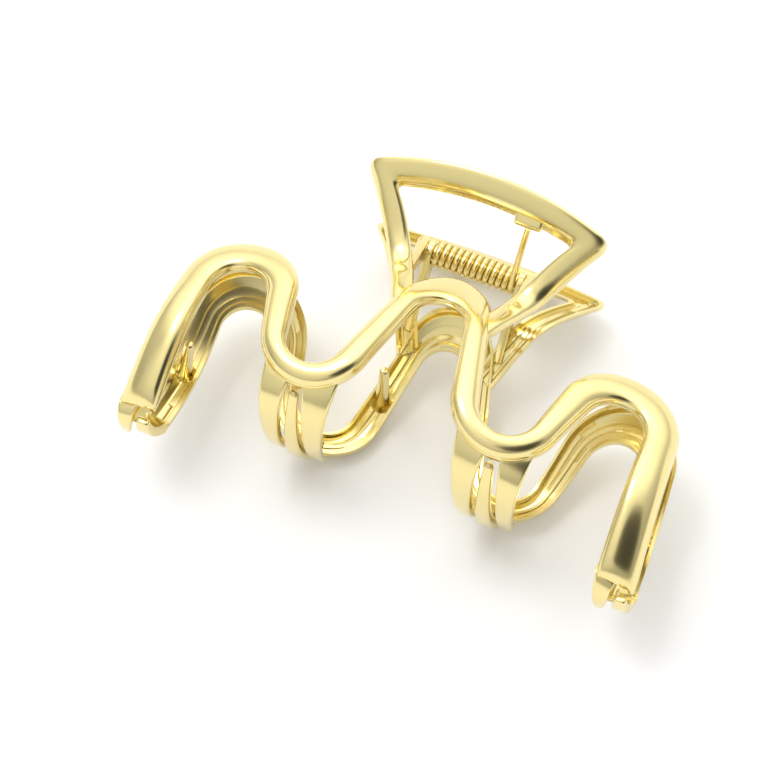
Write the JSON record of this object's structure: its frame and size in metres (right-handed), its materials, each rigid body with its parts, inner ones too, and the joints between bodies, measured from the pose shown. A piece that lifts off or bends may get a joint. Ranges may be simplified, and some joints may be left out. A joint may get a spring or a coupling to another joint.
{
  "type": "claw clip",
  "caption": "Hinged claw clip for hair with two open wavy jaws, arched frame handles and a coiled spring on a riveted pin.",
  "frame": {"origin": "centre of the base of the bounding box, with the closed clip lying on its lower jaw", "axes": "+X along the hinge pin, +Y from the teeth towards the handles, +Z from the lower jaw to the upper jaw"},
  "size_m": [0.0878, 0.055, 0.0383],
  "materials": {
    "plated_casting": "polished pale gold plating on a zinc casting",
    "spring_wire": "polished pale gold plating on spring steel wire"
  },
  "bodies": {
    "lower_jaw": {"hinge_pin": "plated_casting", "lower_handle": "plated_casting", "lower_left_end_tooth": "plated_casting", "lower_left_lug": "plated_casting", "lower_left_tooth": "plated_casting", "lower_peg_1": "plated_casting", "lower_peg_2": "plated_casting", "lower_peg_3": "plated_casting", "lower_peg_4": "plated_casting", "lower_right_end_tooth": "plated_casting", "lower_right_lug": "plated_casting", "lower_right_tooth": "plated_casting", "lower_spring_tab": "plated_casting", "lower_wave": "plated_casting", "torsion_spring": "spring_wire"},
    "upper_jaw": {"upper_handle": "plated_casting", "upper_left_end_tooth": "plated_casting", "upper_left_inner_tooth": "plated_casting", "upper_left_lug": "plated_casting", "upper_left_outer_tooth": "plated_casting", "upper_right_end_tooth": "plated_casting", "upper_right_inner_tooth": "plated_casting", "upper_right_lug": "plated_casting", "upper_right_outer_tooth": "plated_casting", "upper_spring_tab": "plated_casting", "upper_wave": "plated_casting"}
  },
  "joints": [
    {"name": "jaw_hinge", "type": "hinge", "parent": "lower_jaw", "child": "upper_jaw", "pos_m": [0, 0.01847, 0.01913], "axis": [-1, 0, 0], "range_deg": [0, 60], "stiffness_Nm_per_rad": 0.1, "springref_deg": -40.11, "deforming": ["torsion_spring"]}
  ]
}
